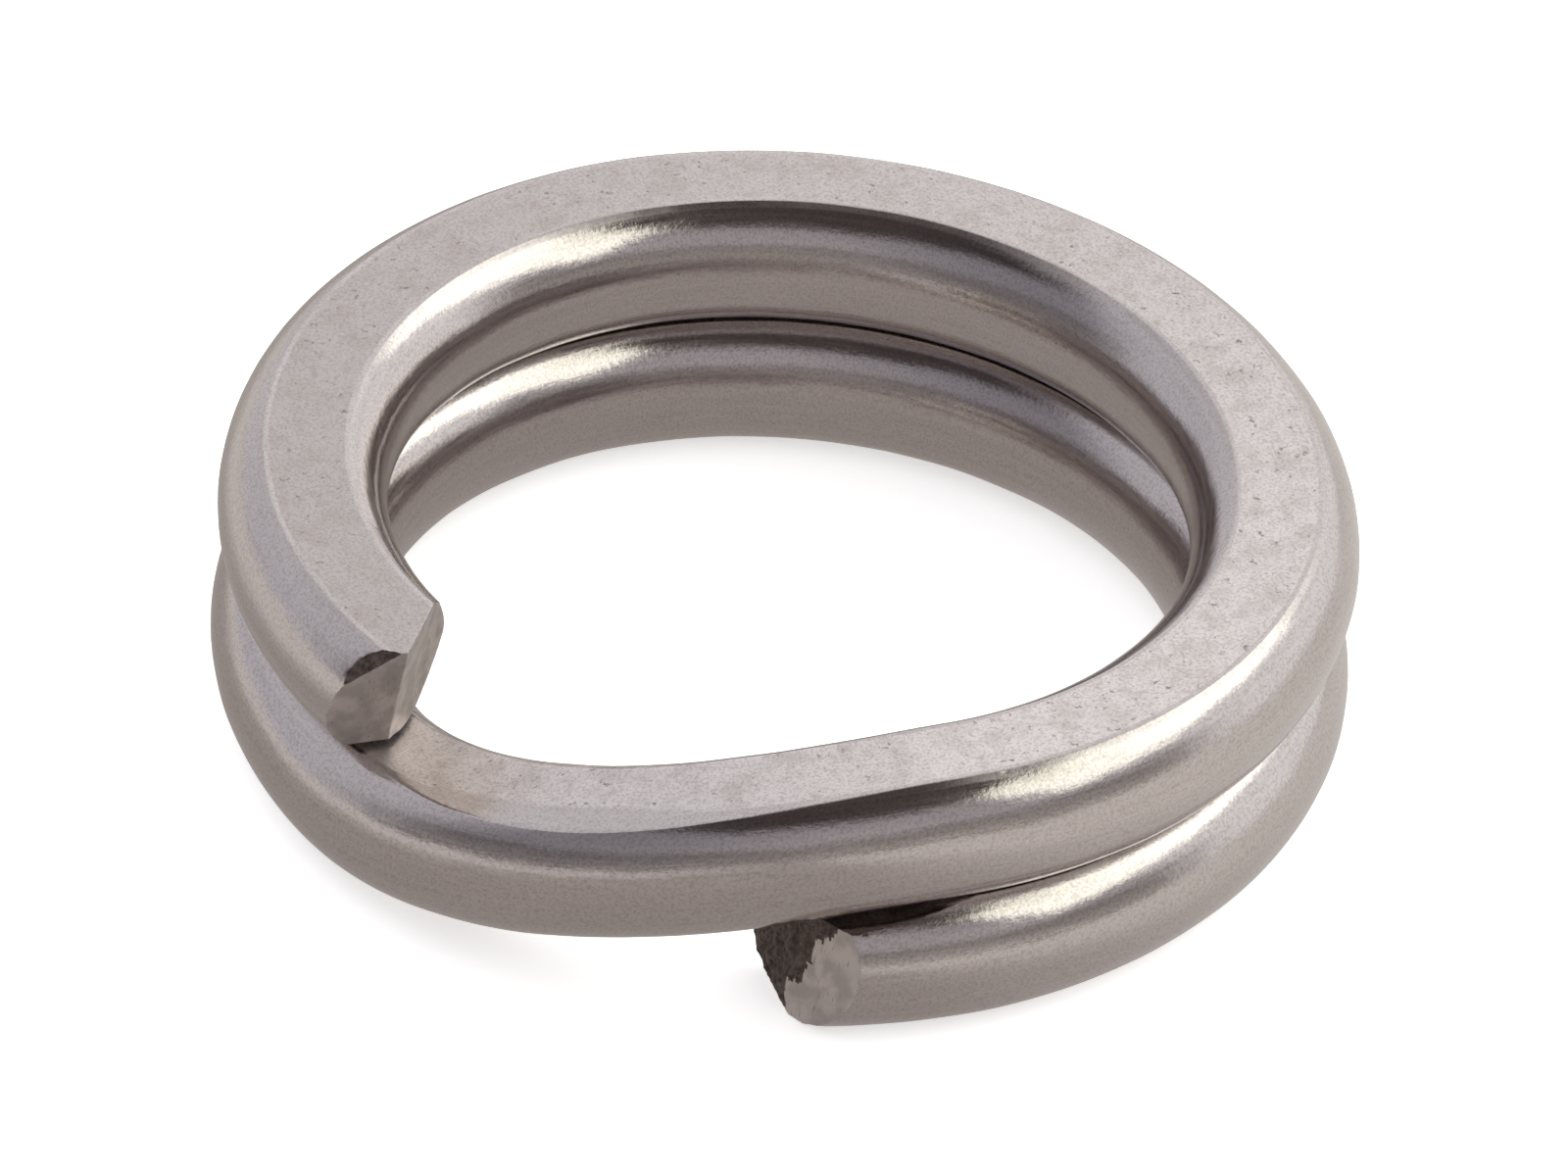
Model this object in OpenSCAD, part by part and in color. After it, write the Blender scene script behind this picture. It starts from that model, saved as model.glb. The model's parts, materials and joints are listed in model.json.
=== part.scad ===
// Split ring: one spring wire wound nearly two turns, stepped up from the lower
// turn to the upper one by a crossover, and sheared off at both ends.
// +Z is up, the origin is on the ring's axis at the face it rests on, and angles
// along the wire count counter-clockwise from +X, through both turns.

/* [Ring] */
// Outer diameter of the closed ring
ring_od = 14; // [12:0.5:16]
// Clear gap between the two turns when the ring is closed
turn_gap = 0.05; // [0.04:0.01:0.1]

/* [Wire] */
// Width of the rolled wire, across its round sides
wire_w = 2.08; // [1.96:0.02:2.2]
// Height of the rolled wire, between its flats
wire_h = 1.8; // [1.6:0.05:1.85]

/* [Winding] */
// Angle where the lower end's cut ridge meets the resting face
lower_end_at = 273.5; // [271:0.5:275]
// Angle where the crossover leaves the lower turn
crossover_from = 571; // [568:0.5:574]
// Angle where the crossover joins the upper turn
crossover_to = 653.5; // [652:0.5:656]
// Angle where the upper end's cut ridge meets the top face
upper_end_at = 945; // [942:1:947]

/* [Cut ends] */
// Radius of the upper end's ridge
upper_ridge_r = 6.3; // [5.8:0.1:6.5]
// Slant of both facets of the upper end, from square to the wire
upper_facet = 26; // [15:1:35]
// Lean of the upper end's outer facet, back from its top face
upper_outer_lean = 17; // [10:1:22]
// Lean of the upper end's inner facet, back from its top face
upper_inner_lean = 5; // [3:1:10]
// Radius of the lower end's ridge
lower_ridge_r = 6.3; // [6:0.05:6.5]
// Slant of the lower end's long outer facet, from square to the wire
lower_outer_facet = 44; // [38:1:48]
// Slant of the lower end's short inner facet, the same way round
lower_inner_facet = 18; // [10:1:25]
// Lean of both facets of the lower end, back from its resting face
lower_lean = 9; // [5:1:14]
// Slope of the relief under or over each end, where the crossover passes
end_relief = 8; // [7:0.5:10]

/* [Stretches] */
// Angle of the cut between the lower end and the rest of the lower turn
lower_end_cut = 305; // [302:1:310]
// Angle of the cut between the upper end and the rest of the upper turn
upper_end_cut = 897.5; // [890:0.5:902]

/* [Hidden] */
$fn = 96;
steel = [0.72, 0.69, 0.68];

side_r = wire_w / 2;
mean_r = ring_od / 2 - side_r;
flat_edge = asin(wire_h / wire_w);
lower_mid_z = wire_h / 2;
upper_base_z = wire_h + turn_gap;
ring_h = upper_base_z + wire_h;

lower_stretches = 7;
upper_stretches = 6;
lower_step = (crossover_from - lower_end_cut) / lower_stretches;
upper_step = (upper_end_cut - crossover_to) / upper_stretches;

// How far an end is drawn past its ridge before it is cut, in degrees
overrun = 6;
// Side of the cube that makes each cut
cutter = 12;

crossover_rings = 36;
side_facets = 10;

function turn_dir(at) = [cos(at), sin(at), 0];

// One wire section, as a ring of points: the outer side, then the inner side.
section = [
    for (side = [0, 180], k = [0:side_facets])
        let (a = side - flat_edge + 2 * flat_edge * k / side_facets)
        side_r * [cos(a), sin(a)]
];

// The crossover climbs one turn's height in a smooth S, level at both ends.
function climb(u) = upper_base_z * u * u * (3 - 2 * u);
crossover_len = mean_r * (crossover_to - crossover_from) * PI / 180;
function climb_angle(u) = atan(upper_base_z * 6 * u * (1 - u) / crossover_len);

function crossover_ring(u) =
    let (
        at = crossover_from + u * (crossover_to - crossover_from),
        tilt = climb_angle(u),
        up = [sin(at) * sin(tilt), -cos(at) * sin(tilt), cos(tilt)]
    )
    [
        for (p = section)
            (mean_r + p.x) * turn_dir(at) + p.y * up + [0, 0, lower_mid_z + climb(u)]
    ];

module wire_section() {
    intersection() {
        circle(r = side_r);
        square([2 * wire_w, wire_h], center = true);
    }
}

module wire_arc(from, to, base_z) {
    translate([0, 0, base_z + wire_h / 2])
        rotate_extrude(angle = to - from, start = from % 360)
            translate([mean_r, 0])
                wire_section();
}

module lower_stretch(i) {
    color(steel)
        wire_arc(lower_end_cut + i * lower_step, lower_end_cut + (i + 1) * lower_step, 0);
}

module upper_stretch(i) {
    color(steel)
        wire_arc(crossover_to + i * upper_step, crossover_to + (i + 1) * upper_step, upper_base_z);
}

// The waste that a pinching shear takes off, past two facets that meet in a ridge.
// Each facet is given as its slant and its lean. X is outwards, and the wire is on -Y.
module sheared_waste(outer_facet, inner_facet) {
    for (facet = [[-outer_facet[0], outer_facet[1]], inner_facet])
        rotate([-facet[1], 0, facet[0]])
            translate([-cutter / 2, 0, -cutter / 2])
                cube([cutter, cutter, cutter]);
}

// The wedge cleared off a face of an end, so that the sloping crossover passes it.
module relief_waste() {
    rotate([end_relief, 0, 0])
        translate([-cutter / 2, 0, -cutter])
            cube([cutter, cutter, cutter]);
}

module at_ring(at, r, z) {
    rotate([0, 0, at])
        translate([r, 0, z])
            children();
}

module lower_end() {
    color(steel)
        difference() {
            wire_arc(lower_end_at - overrun, lower_end_cut, 0);
            at_ring(lower_end_at, lower_ridge_r, 0)
                rotate([180, 0, 0])
                    sheared_waste([lower_outer_facet, lower_lean], [-lower_inner_facet, lower_lean]);
            at_ring(crossover_to, mean_r, wire_h)
                rotate([180, 0, 0])
                    relief_waste();
        }
}

module lower_front_right() { lower_stretch(0); }
module lower_right() { lower_stretch(1); }
module lower_back_right() { lower_stretch(2); }
module lower_back() { lower_stretch(3); }
module lower_back_left() { lower_stretch(4); }
module lower_left() { lower_stretch(5); }
module lower_front_left() { lower_stretch(6); }

module crossover() {
    n = len(section);
    rings = [for (k = [0:crossover_rings]) crossover_ring(k / crossover_rings)];
    skin = [
        for (k = [0:crossover_rings - 1], j = [0:n - 1])
            let (a = k * n + j, b = k * n + (j + 1) % n)
            each [[a, b, b + n], [a, b + n, a + n]]
    ];
    first_cap = [for (j = [n - 1:-1:0]) j];
    last_cap = [for (j = [0:n - 1]) crossover_rings * n + j];
    color(steel)
        polyhedron(points = [for (ring = rings) each ring], faces = concat(skin, [first_cap, last_cap]));
}

module upper_front_right() { upper_stretch(0); }
module upper_right() { upper_stretch(1); }
module upper_back_right() { upper_stretch(2); }
module upper_back() { upper_stretch(3); }
module upper_back_left() { upper_stretch(4); }
module upper_left() { upper_stretch(5); }

module upper_end() {
    color(steel)
        difference() {
            wire_arc(upper_end_cut, upper_end_at + overrun, upper_base_z);
            at_ring(upper_end_at, upper_ridge_r, ring_h)
                sheared_waste([upper_facet, upper_outer_lean], [upper_facet, upper_inner_lean]);
            at_ring(crossover_from, mean_r, upper_base_z)
                relief_waste();
        }
}

lower_end();
lower_front_right();
lower_right();
lower_back_right();
lower_back();
lower_back_left();
lower_left();
lower_front_left();
crossover();
upper_front_right();
upper_right();
upper_back_right();
upper_back();
upper_back_left();
upper_left();
upper_end();
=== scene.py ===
# %% [markdown]
# # A split ring of rolled spring wire
# The object is one piece of spring wire, wound turn on turn. The CAD part has it as
# stretches, each a body of its own, because the ring twists open a little at every
# cut. This script redraws each stretch as finished wire, and adds the steel, the
# floor, the light and the camera.

# %% The imported frame
import json
import math

import bmesh
import bpy
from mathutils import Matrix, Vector, noise

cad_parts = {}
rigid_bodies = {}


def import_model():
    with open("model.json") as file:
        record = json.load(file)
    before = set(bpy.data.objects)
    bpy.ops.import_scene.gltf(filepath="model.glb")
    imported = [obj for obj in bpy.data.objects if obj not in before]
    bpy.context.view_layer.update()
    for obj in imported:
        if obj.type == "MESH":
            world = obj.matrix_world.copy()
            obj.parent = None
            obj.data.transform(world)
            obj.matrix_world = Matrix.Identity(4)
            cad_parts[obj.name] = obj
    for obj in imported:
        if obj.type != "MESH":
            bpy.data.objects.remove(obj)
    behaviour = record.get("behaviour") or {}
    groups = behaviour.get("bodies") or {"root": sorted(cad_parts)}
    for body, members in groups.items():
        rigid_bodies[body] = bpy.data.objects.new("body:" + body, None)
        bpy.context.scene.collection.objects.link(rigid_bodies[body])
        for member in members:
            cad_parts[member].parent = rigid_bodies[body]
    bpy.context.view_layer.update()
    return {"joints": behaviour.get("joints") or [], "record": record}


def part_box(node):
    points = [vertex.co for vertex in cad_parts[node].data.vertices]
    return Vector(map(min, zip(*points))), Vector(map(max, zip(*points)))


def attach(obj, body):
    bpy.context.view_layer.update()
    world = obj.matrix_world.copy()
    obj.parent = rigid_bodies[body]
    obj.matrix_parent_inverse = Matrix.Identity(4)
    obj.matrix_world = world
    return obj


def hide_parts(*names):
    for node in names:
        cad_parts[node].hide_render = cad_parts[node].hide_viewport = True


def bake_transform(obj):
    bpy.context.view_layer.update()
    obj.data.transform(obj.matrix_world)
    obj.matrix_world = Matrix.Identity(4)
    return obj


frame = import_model()
bpy.ops.object.select_all(action="DESELECT")

# %% [markdown]
# ## Measures
# The wire is drawn in millimetres, at the sizes that the frame gives, and each piece
# is brought to metres when it is finished. The hinges between the stretches say
# where the cuts are. Angles run counter-clockwise from +X, on through both turns, so
# every place along the wire has an angle of its own.

# %% Sizes and cuts, read from the frame
MM = 0.001
FULL_TURN = 360


def box_mm(node):
    """The lowest and highest corner of a CAD node, in millimetres."""
    return [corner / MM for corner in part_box(node)]


def unwrapped(x, y, after):
    """The angle of a place on the ring, on the first turn where it is past `after`."""
    at = math.degrees(math.atan2(y, x))
    return at + math.ceil((after - at) / FULL_TURN) * FULL_TURN


lower_low, lower_high = box_mm("lower_right")
upper_low, upper_high = box_mm("upper_right")
wire_h = lower_high.z - lower_low.z
lower_mid = (lower_low.z + lower_high.z) / 2
upper_mid = (upper_low.z + upper_high.z) / 2
rest_face = next(m for m in frame["record"]["mounts"] if m["name"] == "rest_face")
mean_r = rest_face["pos_m"][0] / MM
side_r = lower_high.x - mean_r
flat_half = math.sqrt(side_r**2 - (wire_h / 2) ** 2)

names = [frame["joints"][0]["parent"]] + [joint["child"] for joint in frame["joints"]]
cuts = []
for joint in frame["joints"]:
    x, y, z = joint["pos_m"]
    cuts.append(unwrapped(x, y, cuts[-1] if cuts else 0))
crossover_from = cuts[names.index("crossover") - 1]
crossover_to = cuts[names.index("crossover")]
print(f"wire {2 * side_r:.2f} x {wire_h:.2f} mm on a {mean_r:.2f} mm radius")
print("cuts at", [round(at, 1) for at in cuts])

# %% [markdown]
# ## Camera
# A long lens a hand's breadth and a half away, as for a small product: the ring
# fills the frame, with almost no perspective. It comes first, so that every later
# step can be looked at as it will be seen.

# %% The camera
camera_elevation = math.radians(36.85)
camera_roll = math.radians(4.476)
camera_distance = 280
aim_down = 0.078

straight_back = Vector((0, -math.cos(camera_elevation), math.sin(camera_elevation)))
right = Vector((1, 0, 0))
up = straight_back.cross(right)
tilted_up = up * math.cos(camera_roll) - right * math.sin(camera_roll)
ring_centre = Vector((0, 0, (lower_low.z + upper_high.z) / 2))
camera_place = ring_centre + straight_back * camera_distance
backwards = (camera_place - ring_centre + up * aim_down).normalized()

camera = bpy.data.objects.new("camera", bpy.data.cameras.new("camera"))
bpy.context.scene.collection.objects.link(camera)
camera.data.sensor_width = 36
camera.data.lens = 524.3
camera.data.clip_start = 0.01
camera_right = tilted_up.cross(backwards).normalized()
camera_up = backwards.cross(camera_right)
turn = camera.matrix_world.to_3x3()
turn.col[0], turn.col[1], turn.col[2] = camera_right, camera_up, backwards
camera.matrix_world = turn.to_4x4()
camera.location = camera_place * MM
bpy.context.scene.camera = camera
print("camera at", [round(c, 4) for c in camera.location])

# %% [markdown]
# ## The wire's section
# Round wire has been run between two flat rolls, so it has a flat above and below,
# round sides, and a soft corner where they meet. It could be a polygon of computed
# points, but a circle cut off by two planes is how the rolls made it. The flats are
# divided as finely as the sides, so that small dents can be pushed in later.

# %% Drawing the section
# Points on the full circle, sizes of the soft corner in millimetres, and cuts in a flat.
ROUND_POINTS = 128
corner_round = 0.055
corner_steps = 4
flat_divisions = 15
SNAP = 1e-5


def work_on(piece):
    """Makes one piece the only selected one, and the active one."""
    bpy.ops.object.select_all(action="DESELECT")
    piece.select_set(True)
    bpy.context.view_layer.objects.active = piece


def show_all_selected(mode):
    """Into edit mode, with everything on the active piece selected in one mode."""
    bpy.ops.object.mode_set(mode="EDIT")
    bpy.ops.mesh.select_mode(type=mode)
    bpy.ops.mesh.select_all(action="SELECT")


def select_where(test, kind="verts"):
    """Selects what passes a test, on the piece in edit mode, and nothing else."""
    bpy.ops.mesh.select_all(action="DESELECT")
    mesh = bmesh.from_edit_mesh(bpy.context.object.data)
    found = [part for part in getattr(mesh, kind) if test(part)]
    for part in found:
        part.select_set(True)
    mesh.select_flush_mode()
    bmesh.update_edit_mesh(bpy.context.object.data)
    return len(found)


def draw_section(mid_z):
    """The section's outline, in the plane through the axis and +X."""
    bpy.ops.mesh.primitive_circle_add(
        vertices=ROUND_POINTS, radius=side_r, fill_type="NGON",
        location=(mean_r, 0, mid_z), rotation=(math.pi / 2, 0, 0),
    )
    bpy.ops.object.transform_apply(location=True, rotation=True, scale=False)
    for face in (1, -1):
        show_all_selected("FACE")
        plane_z = mid_z + face * wire_h / 2
        bpy.ops.mesh.bisect(
            plane_co=(mean_r, 0, plane_z), plane_no=(0, 0, face), clear_outer=True, threshold=SNAP
        )
    bpy.ops.mesh.select_mode(type="VERT")
    select_where(lambda v: abs(abs(v.co.z - mid_z) - wire_h / 2) < SNAP)
    bpy.ops.mesh.bevel(offset=corner_round, segments=corner_steps, affect="VERTICES")
    bpy.ops.mesh.select_mode(type="EDGE")
    bpy.ops.mesh.select_all(action="SELECT")
    bpy.ops.mesh.delete(type="ONLY_FACE")
    select_where(lambda e: e.calc_length() > flat_half, "edges")
    bpy.ops.mesh.subdivide(number_cuts=flat_divisions)


# %% [markdown]
# ## Coiling
# The real wire is fed round a coiling pin. Here the outline is spun about the ring's
# axis, half a degree at a step, which gives rows of quads along the wire that later
# cuts and dents can follow. The tube stays open until its surface is finished, so
# that its ends stay in their planes and neighbouring stretches meet exactly.

# %% Spinning a stretch
# In degrees.
STEP_ANGLE = 0.5


def coil(name, start, end, mid_z):
    """A stretch of open wire tube at one height, from one angle to another."""
    draw_section(mid_z)
    steps = round((end - start) / STEP_ANGLE)
    bpy.ops.mesh.select_all(action="SELECT")
    bpy.ops.mesh.spin(
        steps=steps, angle=math.radians(start - end), center=(0, 0, 0), axis=(0, 0, 1)
    )
    bpy.ops.mesh.select_all(action="SELECT")
    bpy.ops.mesh.normals_make_consistent(inside=False)
    bpy.ops.object.mode_set(mode="OBJECT")
    piece = bpy.context.object
    piece.name = name
    piece.data.name = name
    piece.rotation_euler.z = math.radians(start)
    bpy.ops.object.transform_apply(location=False, rotation=True, scale=False)
    return piece


# %% [markdown]
# ## The crossover
# Between the turns the wire is set over by one wire's height, in a smooth S, so that
# both ends of the ring lie flat. The stretch is coiled level and then raised ring by
# ring. A ring on the slope is also stretched upwards by what the slope takes away,
# so the wire keeps its thickness. Setting over also rolls the wire a little outwards.

# %% Raising the crossover
# The roll in degrees, where it starts and ends, and how early it is at its greatest.
ROLL = 14
ROLL_FROM = 581
ROLL_TO = 650
ROLL_EARLY = 0.7


def climbed(at):
    """How far the wire's middle has climbed at an angle along it."""
    u = min(max((at - crossover_from) / (crossover_to - crossover_from), 0), 1)
    return (upper_mid - lower_mid) * u * u * (3 - 2 * u)


def climb_slope(at):
    """How steeply the wire climbs at an angle along it, as rise over run."""
    u = min(max((at - crossover_from) / (crossover_to - crossover_from), 0), 1)
    run = mean_r * math.radians(crossover_to - crossover_from)
    return (upper_mid - lower_mid) * 6 * u * (1 - u) / run


def rolled(at):
    """How far the wire has rolled outwards about its own middle, in radians."""
    u = min(max((at - ROLL_FROM) / (ROLL_TO - ROLL_FROM), 0), 1)
    return math.radians(ROLL) * math.sin(math.pi * u**ROLL_EARLY) ** 2


def raise_rings(start, end):
    """Lifts each ring of the active piece to the height of the S at its angle."""
    steps = round((end - start) / STEP_ANGLE)
    rings = {}
    for v in bpy.context.object.data.vertices:
        at = unwrapped(v.co.x, v.co.y, start - STEP_ANGLE / 2)
        rings.setdefault(round((at - start) * steps / (end - start)), set()).add(v.index)
    show_all_selected("VERT")
    for step, members in rings.items():
        at = start + step * (end - start) / steps
        if climbed(at) < SNAP:
            continue
        select_where(lambda v: v.index in members)
        stretch = math.sqrt(1 + climb_slope(at) ** 2)
        axis, middle = (0, 0, lower_mid), (mean_r, 0, lower_mid)
        turn = math.radians(at)
        bpy.ops.transform.rotate(value=turn, orient_axis="Z", center_override=axis)
        bpy.ops.transform.rotate(value=-rolled(at), orient_axis="Y", center_override=middle)
        bpy.ops.transform.rotate(value=-turn, orient_axis="Z", center_override=axis)
        bpy.ops.transform.resize(value=(1, 1, stretch), center_override=axis)
        bpy.ops.transform.translate(value=(0, 0, climbed(at)))
    bpy.ops.object.mode_set(mode="OBJECT")


# %% [markdown]
# ## Hand-made unevenness
# Coiled wire is never as true as a drawing: the rolls leave it about a hundredth of a
# millimetre uneven, and that is what makes its reflections waver. A Displace modifier
# with a cloud texture does the same to the mesh, before the tube is closed. All
# stretches read the same cloud in the same place, so it runs on across the cuts.

# %% The rolled unevenness
waviness = bpy.data.textures.new("rolled_waviness", "CLOUDS")
waviness.noise_scale = 1.1
waviness.noise_depth = 1
waviness_depth = 0.016


def make_uneven(piece):
    """Pushes the wire's surface in and out by a few microns, and keeps it so."""
    work_on(piece)
    displace = piece.modifiers.new("unevenness", "DISPLACE")
    displace.texture = waviness
    displace.texture_coords = "LOCAL"
    displace.strength = waviness_depth
    displace.mid_level = 0.5
    bpy.ops.object.modifier_apply(modifier=displace.name)


# %% [markdown]
# ## The sheared ends
# A pinching cutter parts the wire from the outside, so each end has slanted facets
# that meet in a ridge. The blade first rolls the edge over, then slides down the
# metal and wipes it smooth, and at last the rest tears. The planes are cut by bisect,
# as the blade did. Each facet is then divided into a fine grid, so that its rolled
# edge and its torn part can be real relief, and not only paint.

# %% Cutting an end
# The slopes that let the crossover pass, the width of a facet's grid, the depth of the
# rows beside its rim, and how well two normals agree when they are one plane's.
LOWER_RELIEF = math.radians(8)
UPPER_RELIEF = math.radians(6)
FACET_GRID = 0.035
GRID_SHIFT = 0.37
RIM_ROWS = (0.02, 0.045, 0.08)
NEAR_PLANE = SNAP * 20
SAME_PLANE = 0.99
SAME_FACET = 0.999
SHARP_RIM = 0.9


def directions(at):
    """Outwards, forwards along the wire, and up, at an angle on the ring."""
    a = math.radians(at)
    return (
        Vector((math.cos(a), math.sin(a), 0)),
        Vector((-math.sin(a), math.cos(a), 0)),
        Vector((0, 0, 1)),
    )


def facet_normal(at, way, slant, lean=0):
    """The way a facet faces. way is 1 where the wire ends, -1 where it starts."""
    out, along, up = directions(at)
    s, tip = math.radians(slant), math.radians(lean)
    level = math.cos(s) * along * way - math.sin(s) * out
    return math.cos(tip) * level - math.sin(tip) * up


def on_ring(at, r, z):
    """A point in the ring's own terms: angle, radius and height."""
    out, _, up = directions(at)
    return out * r + up * z


def cut_off(place, normal, material):
    """Cuts away what is past a plane, and closes the cut with a face of one material."""
    normal = normal.normalized()
    show_all_selected("FACE")
    bpy.ops.mesh.bisect(
        plane_co=place, plane_no=normal, clear_outer=True, use_fill=True, threshold=SNAP
    )
    mesh = bmesh.from_edit_mesh(bpy.context.object.data)
    for face in mesh.faces:
        flat_on = all(abs((v.co - place).dot(normal)) < NEAR_PLANE for v in face.verts)
        if flat_on and abs(face.normal.dot(normal)) > SAME_PLANE:
            face.material_index = material
    bmesh.update_edit_mesh(bpy.context.object.data)
    bpy.ops.object.mode_set(mode="OBJECT")


def divide_end(planes, reach):
    """Adds rows beside the rim of each facet, then a fine grid on the facets."""
    bpy.ops.object.mode_set(mode="EDIT")
    bpy.ops.mesh.select_mode(type="FACE")
    for place, normal in planes:

        def beside_facet(f):
            return f.material_index == 0 and (f.calc_center_median() - place).length < reach

        for depth in RIM_ROWS:
            row = place - normal.normalized() * depth
            select_where(beside_facet, "faces")
            bpy.ops.mesh.bisect(plane_co=row, plane_no=normal, threshold=SNAP)
    for place, normal in planes:

        def on_facet(f):
            faces_out = abs(f.normal.dot(normal.normalized())) > SAME_FACET
            return f.material_index > 0 and faces_out

        across = Vector((0, 0, 1)).cross(normal).normalized()
        down = normal.normalized().cross(across)
        lines = round(reach / FACET_GRID)
        for way in (across, down):
            for line in range(-lines, lines + 1):
                row = place + way * (line + GRID_SHIFT) * FACET_GRID
                select_where(on_facet, "faces")
                bpy.ops.mesh.bisect(plane_co=row, plane_no=way, threshold=SNAP)
    bpy.ops.object.mode_set(mode="OBJECT")


def press(test, push, reach):
    """Pushes what passes a test, and less and less of what is around it."""
    bpy.ops.object.mode_set(mode="EDIT")
    bpy.ops.mesh.select_mode(type="VERT")
    count = select_where(test)
    bpy.ops.transform.translate(
        value=push, use_proportional_edit=True,
        proportional_edit_falloff="SMOOTH", proportional_size=reach,
    )
    bpy.ops.object.mode_set(mode="OBJECT")
    return count


def round_rims(times):
    """Takes the sharpness off every edge between a facet and what is beside it."""
    bpy.ops.object.mode_set(mode="EDIT")
    bpy.ops.mesh.select_mode(type="VERT")

    def on_rim(v):
        normals = [f.normal for f in v.link_faces]
        cut = any(f.material_index for f in v.link_faces)
        return cut and any(n.dot(normals[0]) < SHARP_RIM for n in normals)

    select_where(on_rim)
    bpy.ops.mesh.vertices_smooth(factor=0.5, repeat=1)
    bpy.ops.mesh.select_more()
    bpy.ops.mesh.vertices_smooth(factor=0.5, repeat=times)
    bpy.ops.object.mode_set(mode="OBJECT")


def tear(test, depth):
    """Gives part of a facet the torn material, and a crumbled surface."""
    mesh = bpy.context.object.data
    torn = [f for f in mesh.polygons if f.material_index == 1 and test(f.center)]
    for face in torn:
        face.material_index = 2
    bpy.ops.object.mode_set(mode="EDIT")
    bpy.ops.mesh.select_mode(type="VERT")
    coarse, fine = (1, 5, 1), (0.25, 1, 2)
    for share, smoothings, seed in (coarse, fine):
        select_where(lambda v: all(f.material_index == 2 for f in v.link_faces))
        bpy.ops.transform.vertex_random(offset=depth * share, uniform=0.2, normal=0.8, seed=seed)
        bpy.ops.mesh.vertices_smooth(factor=0.5, repeat=smoothings)
    bpy.ops.object.mode_set(mode="OBJECT")
    return len(torn)


def close_tube(piece):
    """Fills both open ends of a tube."""
    work_on(piece)
    show_all_selected("VERT")
    bpy.ops.mesh.fill_holes(sides=0)
    bpy.ops.mesh.select_all(action="SELECT")
    bpy.ops.mesh.normals_make_consistent(inside=False)
    bpy.ops.object.mode_set(mode="OBJECT")


# %% [markdown]
# ## A place along the wire
# Drawing and rolling leave marks that run along the wire, round the ring. A pattern
# on plain coordinates would run straight through it instead. So every point keeps its
# place in the wire's own terms: how far along it lies, how far out, and how far up
# from its middle, in millimetres. Counted through both turns, it has no seam.

# %% The wire's own coordinates


def write_wire_place(piece, start):
    """Stores each point's place along, out from and up from the wire's middle."""
    attribute = piece.data.attributes.new("wire_place", "FLOAT_VECTOR", "POINT")
    for v, stored in zip(piece.data.vertices, attribute.data):
        x, y, z = v.co / MM
        at = unwrapped(x, y, start - FULL_TURN / 4)
        across = math.sqrt(1 + climb_slope(at) ** 2)
        stored.vector = (
            math.radians(at) * mean_r,
            math.hypot(x, y) - mean_r,
            (z - lower_mid - climbed(at)) / across,
        )


def finish_piece(piece, start):
    """Brings a piece to metres, smooths its shading and gives it its coordinates."""
    work_on(piece)
    piece.scale = (MM, MM, MM)
    bpy.ops.object.transform_apply(location=False, rotation=False, scale=True)
    bpy.ops.object.shade_smooth_by_angle(angle=math.radians(35))
    write_wire_place(piece, start)
    bpy.ops.object.select_all(action="DESELECT")


# %% [markdown]
# ## Steel
# Spring steel for small rings is a hard-drawn stainless wire. Its colour is a pale
# grey that leans a little to warm, and nearly all of its look is in how sharply it
# reflects: the drawn sides are satin, the rolled flats are matt and mottled.

# %% Colours and the node helper


def colour(code):
    """An sRGB hex colour as the linear values that a shader works in."""
    parts = [int(code[i : i + 2], 16) / 255 for i in (1, 3, 5)]
    linear = [p / 12.92 if p <= 0.04045 else ((p + 0.055) / 1.055) ** 2.4 for p in parts]
    return (*linear, 1)


def add_node(tree, kind, inputs=None, **settings):
    """Adds one node, with its settings, and its inputs as values or as links."""
    node = tree.nodes.new("ShaderNode" + kind)
    for name, value in settings.items():
        setattr(node, name, value)
    for name, value in (inputs or {}).items():
        if isinstance(value, bpy.types.NodeSocket):
            tree.links.new(value, node.inputs[name])
        else:
            node.inputs[name].default_value = value
    return node


def new_material(name):
    """An empty node material, and its tree."""
    material = bpy.data.materials.new(name)
    material.use_nodes = True
    material.node_tree.nodes.clear()
    return material, material.node_tree


# %% The drawn and rolled wire
# All patterns read the wire's own coordinates, so a scale is a count per millimetre.
# The flats' colour is painted brightest up to the end of the crossover and duller 250 degrees on:
# painted light, for how the light falls along the ring.
EDGE_OUT = flat_half - corner_round
EDGE_UP = wire_h / 2 - corner_round
FADE_BEFORE = 0.01
FADE_AFTER = 0.015
# Where the painted light on the flats starts to fade along the wire, and where it is gone.
LIT_FLATS_FADE_FROM = math.radians(crossover_to + 20) * mean_r
LIT_FLATS_FADE_TO = math.radians(crossover_to + 250) * mean_r


def band(tree, value, low, high):
    """0 below low and 1 above high, with a smooth step between."""
    inputs = {0: value, 1: low, 2: high}
    return add_node(tree, "MapRange", inputs, interpolation_type="SMOOTHSTEP").outputs[0]


def blended(tree, factor, first, second):
    """A number that goes from the first to the second with the factor."""
    return add_node(tree, "Mix", {0: factor, 2: first, 3: second}).outputs[0]


def tinted(tree, factor, first, second, blend_type="MIX"):
    """A colour that goes with the factor from the first to its mix with the second."""
    inputs = {0: factor, 6: first, 7: second}
    return add_node(tree, "Mix", inputs, data_type="RGBA", blend_type=blend_type).outputs[2]


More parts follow.
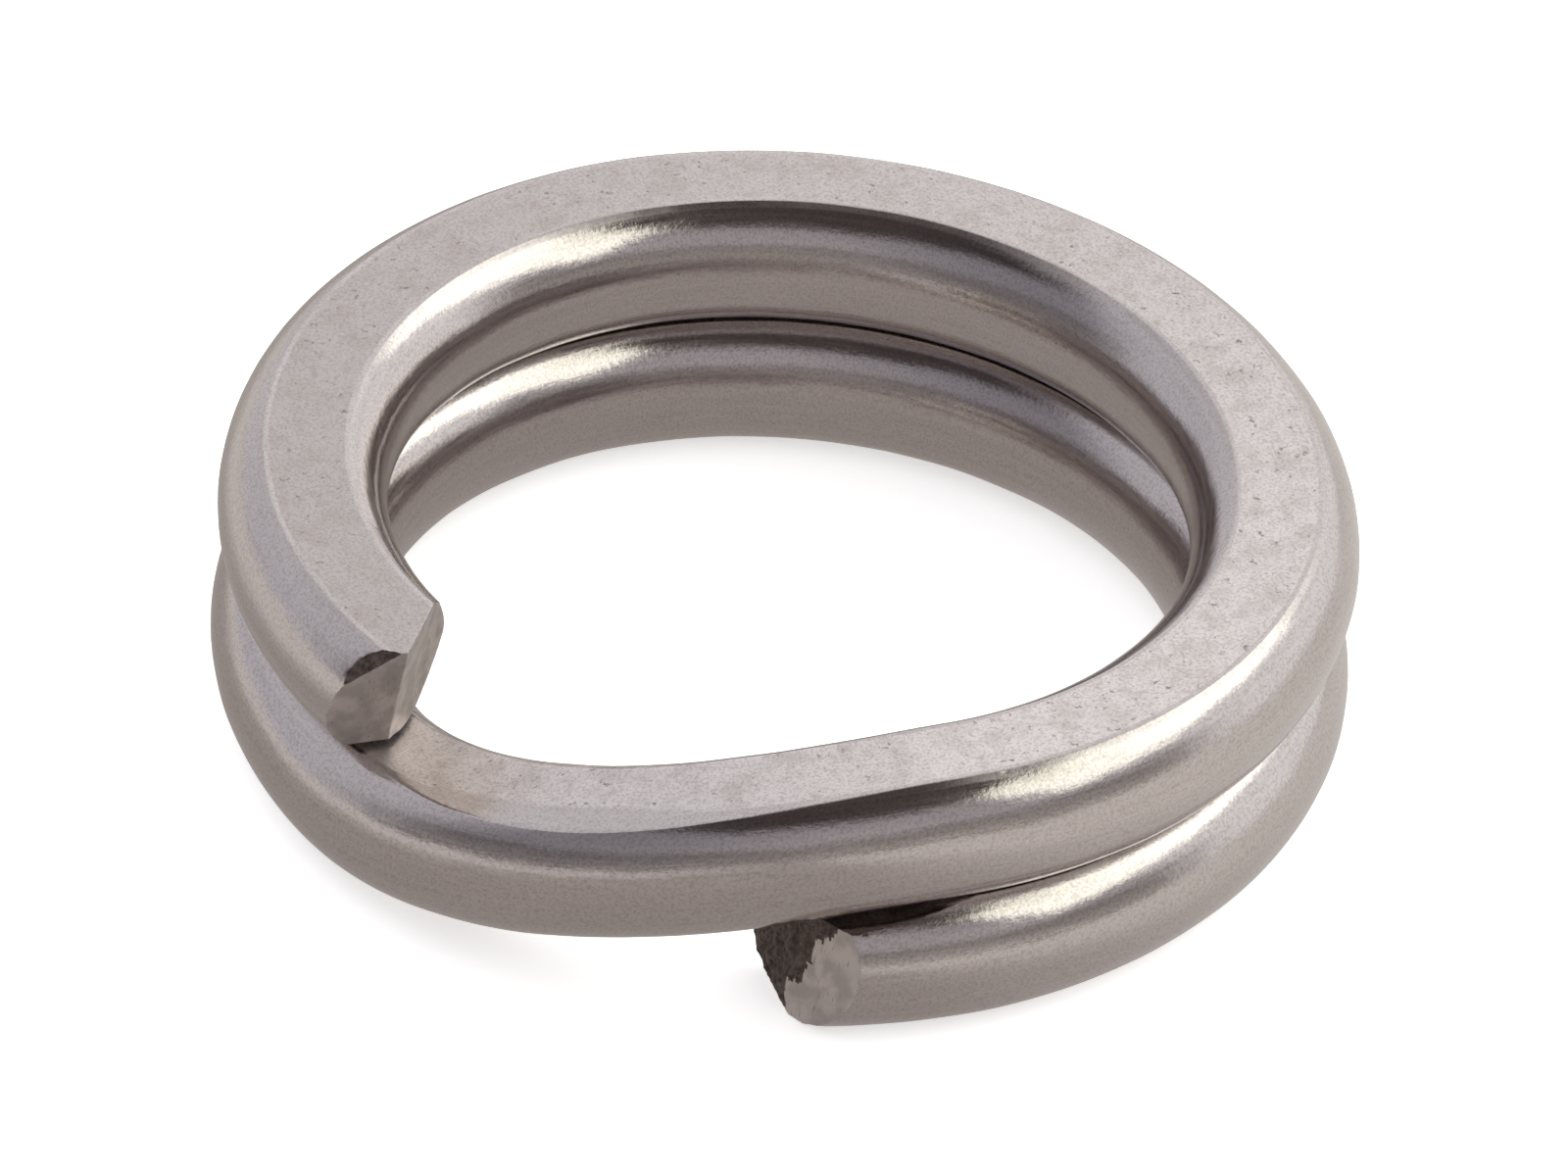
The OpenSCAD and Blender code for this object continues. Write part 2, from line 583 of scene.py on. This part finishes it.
def rolled_spring_steel():
    """Stainless spring wire, drawn and then rolled flat above and below.
    The rolls leave matt, mottled flats with dark specks. The drawn sides are satin,
    with long streaks, and handling has polished stretches of the edges bright."""
    material, tree = new_material("rolled_stainless_spring_wire")
    place = add_node(tree, "Attribute", attribute_name="wire_place").outputs["Vector"]
    parts = add_node(tree, "SeparateXYZ", {0: place})
    out = add_node(tree, "Math", {0: parts.outputs["Y"]}, operation="ABSOLUTE").outputs[0]
    up = add_node(tree, "Math", {0: parts.outputs["Z"]}, operation="ABSOLUTE").outputs[0]
    beyond = band(tree, out, EDGE_OUT - FADE_BEFORE, EDGE_OUT + FADE_AFTER)
    above = band(tree, up, EDGE_UP - FADE_BEFORE, EDGE_UP + FADE_AFTER)
    inner = add_node(tree, "Math", {0: 1, 1: beyond}, operation="SUBTRACT").outputs[0]
    flat = add_node(tree, "Math", {0: inner, 1: above}, operation="MULTIPLY").outputs[0]
    edge = add_node(tree, "Math", {0: beyond, 1: above}, operation="MULTIPLY").outputs[0]

    def cloud(scale, detail, stretch=(1, 1, 1), offset=0):
        mapped = add_node(
            tree, "Mapping", {"Vector": place, "Scale": stretch, "Location": (offset, 0, 0)}
        )
        inputs = {"Vector": mapped.outputs[0], "Scale": scale, "Detail": detail, "Roughness": 0.65}
        return add_node(tree, "TexNoise", inputs).outputs[0]

    mottle = cloud(2.2, 5)
    grain = cloud(27, 2)
    peel = cloud(11, 3)
    streak = cloud(1, 5, (0.45, 14, 14))
    specks = cloud(8.5, 3, offset=31)
    worn = cloud(0.5, 3, offset=77)
    # Painted light: the flats' colour runs from bright near the crossover to duller towards the
    # upper end, for how the light falls on them.
    painted_light_on_flats = band(tree, parts.outputs["X"], LIT_FLATS_FADE_TO, LIT_FLATS_FADE_FROM)

    streaked = band(tree, streak, 0.3, 0.7)
    side_tone = tinted(tree, streaked, colour("#CBC3C1"), colour("#D4CCCA"))
    flat_tone = tinted(tree, painted_light_on_flats, colour("#CFC7C5"), colour("#F2EAE8"))
    soiled = tinted(tree, 0.35, flat_tone, colour("#A99B94"))
    flat_tone = tinted(tree, band(tree, mottle, 0.34, 0.6), soiled, flat_tone)
    tone = tinted(tree, flat, side_tone, flat_tone)
    grimy = tinted(tree, 0.38, tone, colour("#8D827D"))
    tone = tinted(tree, band(tree, grain, 0.3, 0.6), grimy, tone)
    speck = add_node(
        tree, "Math", {0: band(tree, specks, 0.62, 0.72), 1: flat}, operation="MULTIPLY"
    ).outputs[0]
    tone = tinted(tree, speck, tone, colour("#A0918A"))
    side_rough = blended(tree, band(tree, streak, 0.35, 0.65), 0.12, 0.2)
    flat_rough = blended(tree, band(tree, mottle, 0.35, 0.65), 0.38, 0.46)
    rough = blended(tree, flat, side_rough, flat_rough)
    polish = add_node(
        tree, "Math", {0: edge, 1: band(tree, worn, 0.42, 0.62)}, operation="MULTIPLY"
    ).outputs[0]
    rough = blended(tree, edge, rough, 0.34)
    rough = blended(tree, polish, rough, 0.2)
    relief = blended(tree, 0.3, peel, streak)
    bump = add_node(tree, "Bump", {"Height": relief, "Strength": 1, "Distance": 0.000004})
    shader = add_node(
        tree, "BsdfPrincipled",
        {"Base Color": tone, "Metallic": 1, "Roughness": rough, "Normal": bump.outputs[0]},
    )
    add_node(tree, "OutputMaterial", {0: shader.outputs[0]})
    return material


def sheared_steel():
    """Steel wiped smooth by a shear blade: dull and close grained, with fine drag
    marks, which give the eye a facet that is cut and not moulded."""
    material, tree = new_material("sheared_spring_steel")
    place = add_node(tree, "TexCoord").outputs["Object"]
    marks = add_node(tree, "Mapping", {"Vector": place, "Scale": (30000, 30000, 4000)})
    drag = add_node(
        tree, "TexNoise", {"Vector": marks.outputs[0], "Scale": 1, "Detail": 4}
    ).outputs[0]
    cloudy = add_node(tree, "TexNoise", {"Vector": place, "Scale": 3500, "Detail": 4}).outputs[0]
    tone = tinted(tree, band(tree, cloudy, 0.35, 0.65), colour("#C9C1BD"), colour("#E2DAD6"))
    tone = tinted(tree, band(tree, drag, 0.6, 0.75), tone, colour("#A89E99"))
    bump = add_node(tree, "Bump", {"Height": drag, "Strength": 1, "Distance": 0.000003})
    shader = add_node(
        tree, "BsdfPrincipled",
        {"Base Color": tone, "Metallic": 1, "Roughness": 0.5, "Normal": bump.outputs[0]},
    )
    add_node(tree, "OutputMaterial", {0: shader.outputs[0]})
    return material


def torn_steel():
    """Torn steel: a dark, dull and grainy break, which shows where the blade let go."""
    material, tree = new_material("torn_spring_steel")
    place = add_node(tree, "TexCoord").outputs["Object"]
    crumbs = add_node(
        tree, "TexNoise", {"Vector": place, "Scale": 14000, "Detail": 5, "Roughness": 0.7}
    ).outputs[0]
    tone = tinted(tree, band(tree, crumbs, 0.35, 0.65), colour("#5A504C"), colour("#857A75"))
    bump = add_node(tree, "Bump", {"Height": crumbs, "Strength": 1, "Distance": 0.000025})
    shader = add_node(
        tree, "BsdfPrincipled",
        {"Base Color": tone, "Metallic": 1, "Roughness": 0.55, "Normal": bump.outputs[0]},
    )
    add_node(tree, "OutputMaterial", {0: shader.outputs[0]})
    return material


wire_finish = rolled_spring_steel()
cut_finish = sheared_steel()
torn_finish = torn_steel()
print("materials:", wire_finish.name, cut_finish.name, torn_finish.name)

# %% [markdown]
# ## All the stretches
# Every stretch is coiled, made uneven and closed. The stretches at the two ends are
# coiled a little too long and cut back. Then the first stretch is tied to its own body,
# and the others stay where they are drawn.

# %% Where the wire ends
# Angles in degrees and lengths in millimetres. A facet's slant is measured from square
# to the wire, and its lean is how far it falls back from its ridge.
LOWER_END_AT = 273.5
LOWER_RIDGE_R = 6.3
LOWER_OUTER_FACET = 44
LOWER_INNER_FACET = 18
LOWER_LEAN = 9
UPPER_END_AT = 945
UPPER_RIDGE_R = 6.3
UPPER_OUTER_FACET = 26
UPPER_INNER_FACET = 31
UPPER_OUTER_LEAN = 17
UPPER_INNER_LEAN = 10
OVERRUN = 9
END_REACH = 2.2
starts = [LOWER_END_AT - OVERRUN] + cuts
stops = cuts + [UPPER_END_AT + OVERRUN]

# %% Coiling every stretch
pieces = {}
for name, start, stop in zip(names, starts, stops):
    mid_z = lower_mid if stop <= crossover_to else upper_mid
    piece = coil(name + "_wire", start, stop, mid_z)
    if name == "crossover":
        raise_rings(start, stop)
    make_uneven(piece)
    close_tube(piece)
    piece.data.materials.append(wire_finish)
    piece.data.materials.append(cut_finish)
    piece.data.materials.append(torn_finish)
    pieces[name] = piece
print("coiled", len(pieces), "stretches")

# %% [markdown]
# ## The lower end
# Its long facet slants outwards and is wiped smooth near the outside. The inner part
# tore, and is dark and crumbled. The edge by the table is turned in a little.

# %% Cutting the lower end
work_on(pieces["lower_end"])
lower_ridge = on_ring(LOWER_END_AT, LOWER_RIDGE_R, lower_low.z)
_, along, up = directions(crossover_to)
cut_off(
    on_ring(crossover_to, mean_r, lower_high.z),
    math.cos(LOWER_RELIEF) * up - math.sin(LOWER_RELIEF) * along, 0,
)
lower_planes = [
    (lower_ridge, facet_normal(LOWER_END_AT, -1, -LOWER_OUTER_FACET, -LOWER_LEAN)),
    (lower_ridge, facet_normal(LOWER_END_AT, -1, -LOWER_INNER_FACET, -LOWER_LEAN)),
]
for place, normal in lower_planes:
    cut_off(place, normal, 1)
divide_end(lower_planes, END_REACH)

# %% Turning in and tearing the lower end
# In millimetres. The ragged line round the torn part is noise of two sizes, given as
# its depth and its waves to a millimetre.
TURNED_BELOW = 0.04
TURNED_REACH = 0.3
TORN_FROM = mean_r + 0.18
TORN_SLOPE = 0.24
TORN_DEPTH = 0.2
RAGGED = ((0.12, 4), (0.07, 13))
out, along, up = directions(LOWER_END_AT)
turn_in = along * 0.06 + up * 0.03


def by_the_table(v):
    """Whether a point is on the lower end's cut, at the edge by the table."""
    return v.co.z < TURNED_BELOW and any(f.material_index for f in v.link_faces)


turned = press(by_the_table, turn_in, TURNED_REACH)


def lower_torn(place):
    """Where the lower end tore: inside a ragged line across its facets."""
    ragged = sum(depth * noise.noise(place * count) for depth, count in RAGGED)
    return place.dot(out) < TORN_FROM + TORN_SLOPE * place.z + ragged


torn = tear(lower_torn, TORN_DEPTH)
round_rims(2)
print("lower end:", turned, "points turned in,", torn, "faces torn")

# %% [markdown]
# ## The upper end
# Its blade came down from above. It first bit a small crescent out of the top edge,
# then wiped the outer facet smooth all the way down, and drew the inner edge out.

# %% Cutting the upper end
# The crescent is one more plane, which takes the top outer corner off: where it goes
# through, and how much of it faces along the wire, outwards and upwards.
BITE_AT = 221.3
BITE_R = 6.63
BITE_Z = 3.6
BITE_FACES = (0.46, 0.73, 0.46)
work_on(pieces["upper_end"])
upper_ridge = on_ring(UPPER_END_AT, UPPER_RIDGE_R, upper_high.z)
_, along, up = directions(crossover_from)
cut_off(
    on_ring(crossover_from, mean_r, upper_low.z),
    math.sin(UPPER_RELIEF) * along - math.cos(UPPER_RELIEF) * up, 0,
)
upper_planes = [
    (upper_ridge, facet_normal(UPPER_END_AT, 1, -UPPER_OUTER_FACET, UPPER_OUTER_LEAN)),
    (upper_ridge, facet_normal(UPPER_END_AT, 1, UPPER_INNER_FACET, UPPER_INNER_LEAN)),
]
for place, normal in upper_planes:
    cut_off(place, normal, 1)
out, along, up = directions(BITE_AT)
bite_normal = BITE_FACES[0] * along + BITE_FACES[1] * out + BITE_FACES[2] * up
cut_off(on_ring(BITE_AT, BITE_R, BITE_Z), bite_normal, 2)
divide_end(upper_planes, END_REACH)

# %% Drawing out the inner edge of the upper end
DRAWN_BELOW = 2.7
DRAWN_INSIDE = mean_r - 0.3
DRAWN_BY = 0.12
DRAWN_REACH = 0.7
out, along, _ = directions(UPPER_END_AT)


def on_inner_rim(v):
    """Whether a point is low on the rim of the inner facet."""
    kinds = {f.material_index > 0 for f in v.link_faces}
    return len(kinds) == 2 and v.co.z < DRAWN_BELOW and v.co.dot(out) < DRAWN_INSIDE


drawn = press(on_inner_rim, along * DRAWN_BY, DRAWN_REACH)
round_rims(2)
print("upper end:", drawn, "points drawn out")

# %% Finishing every stretch, and tying the first to its body
for number, (name, start) in enumerate(zip(names, starts)):
    piece = pieces[name]
    finish_piece(piece, start)
    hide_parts(name)
    if number == 0:
        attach(piece, name)
        continue
    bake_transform(piece)
print({name: len(piece.data.polygons) for name, piece in pieces.items()})

# %% [markdown]
# ## Floor and light
# The ring lies on a white table in a small studio. A camera sees the table as plain
# white, but steel reflects it as the soft grey that it has at a low angle. So the
# table is drawn as two sheets: one for the camera, and one, just below, that only
# reflections meet. Both lie a hair below the ring, whose uneven underside dips by up
# to 7 microns. The reflected sheet is darker in a strip from front to back.

# %% The table
# In metres: how low each sheet lies, the darker strip's middle, and where it fades out.
WHITE_DROP = 0.00001
GREY_DROP = 0.00003
STRIP_X = -0.0035
STRIP_FROM = 0.005
STRIP_TO = 0.013
scene = bpy.context.scene
scene.view_settings.view_transform = "Standard"


def table(name, code, drop, glow):
    """A wide sheet of table, in one colour, lit a little from underneath."""
    bpy.ops.mesh.primitive_plane_add(size=3, location=(0, 0, -drop))
    sheet = bpy.context.object
    sheet.name = name
    material, tree = new_material(name)
    finish = {
        "Base Color": colour(code), "Roughness": 0.9,
        "Emission Color": colour(code), "Emission Strength": glow,
    }
    shader = add_node(tree, "BsdfPrincipled", finish)
    add_node(tree, "OutputMaterial", {0: shader.outputs[0]})
    sheet.data.materials.append(material)
    sheet.visible_shadow = False
    return sheet


white_table = table("white_table", "#F4F4F4", WHITE_DROP, glow=0.6)
white_table.visible_glossy = False
grey_table = table("table_in_reflections", "#9C9792", GREY_DROP, glow=0)
grey_table.visible_camera = False
grey_table.visible_diffuse = False
tree = grey_table.data.materials[0].node_tree
place = add_node(tree, "SeparateXYZ", {0: add_node(tree, "TexCoord").outputs["Object"]})
shifted = add_node(tree, "Math", {0: place.outputs["X"], 1: -STRIP_X}).outputs[0]
aside = add_node(tree, "Math", {0: shifted}, operation="ABSOLUTE").outputs[0]
beside_strip = band(tree, aside, STRIP_FROM, STRIP_TO)
lighter = tinted(tree, beside_strip, colour("#98938F"), colour("#C2BFBB"))
tree.links.new(lighter, tree.nodes["Principled BSDF"].inputs["Base Color"])
print("table:", white_table.name, "and", grey_table.name)

# %% The soft lights


def soft_box(name, azimuth, elevation, distance, width, height, power, code):
    """A rectangular light that faces the ring."""
    light = bpy.data.lights.new(name, "AREA")
    light.shape = "RECTANGLE"
    light.size = width
    light.size_y = height
    light.energy = power
    light.color = colour(code)[:3]
    box = bpy.data.objects.new(name, light)
    scene.collection.objects.link(box)
    a, e = math.radians(azimuth), math.radians(elevation)
    towards = Vector((math.cos(a) * math.cos(e), math.sin(a) * math.cos(e), math.sin(e)))
    box.location = towards * distance
    box.rotation_euler = towards.to_track_quat("Z", "Y").to_euler()
    box.visible_camera = False
    return box


key_light = soft_box(
    "key_soft_box", azimuth=3, elevation=44, distance=0.2,
    width=0.24, height=0.095, power=0.105, code="#FBFFEF",
)
table_light = soft_box(
    "light_over_table", azimuth=90, elevation=80, distance=0.6,
    width=1.6, height=1.6, power=9, code="#FFFFFF",
)
table_light.visible_glossy = False
print("lights:", key_light.name, "and", table_light.name)

# %% The room
# Polished wire shows the room as bands that run along it. One ramp from the horizon up
# is the room in front of the ring, with a dark ceiling, and the other is the bright
# room behind it. The left side of the room is a little darker and cooler.
world = bpy.data.worlds.new("studio")
scene.world = world
world.use_nodes = True
tree = world.node_tree
tree.nodes.clear()
way = add_node(tree, "TexCoord").outputs["Generated"]
parts = add_node(tree, "SeparateXYZ", {0: way})
front = add_node(tree, "ValToRGB", {0: parts.outputs["Z"]})
stops_front = [
    (0.0, "#B9B4AE"), (0.32, "#8D8988"), (0.38, "#BAB7BB"), (0.66, "#AEABB0"),
    (0.74, "#504948"), (1.0, "#504948"),
]
back = add_node(tree, "ValToRGB", {0: parts.outputs["Z"]})
stops_back = [(0.0, "#FFFFFF"), (0.82, "#FFFFFF"), (0.92, "#8A8684"), (1.0, "#5A5352")]
for ramp, bands in ((front, stops_front), (back, stops_back)):
    while len(ramp.color_ramp.elements) < len(bands):
        ramp.color_ramp.elements.new(0.5)
    for element, (position, code) in zip(ramp.color_ramp.elements, bands):
        element.position = position
        element.color = colour(code)
behind = band(tree, parts.outputs["Y"], -0.25, 0.2)
sky = tinted(tree, behind, front.outputs[0], back.outputs[0])
to_the_right = band(tree, parts.outputs["X"], -0.9, 0.2)
cast = tinted(tree, to_the_right, colour("#CFCFD6"), colour("#FFFFFF"))
sky = tinted(tree, 1.0, sky, cast, blend_type="MULTIPLY")
background = add_node(tree, "Background", {0: sky, 1: 1.0})
add_node(tree, "OutputWorld", {0: background.outputs[0]})
print("room:", world.name)
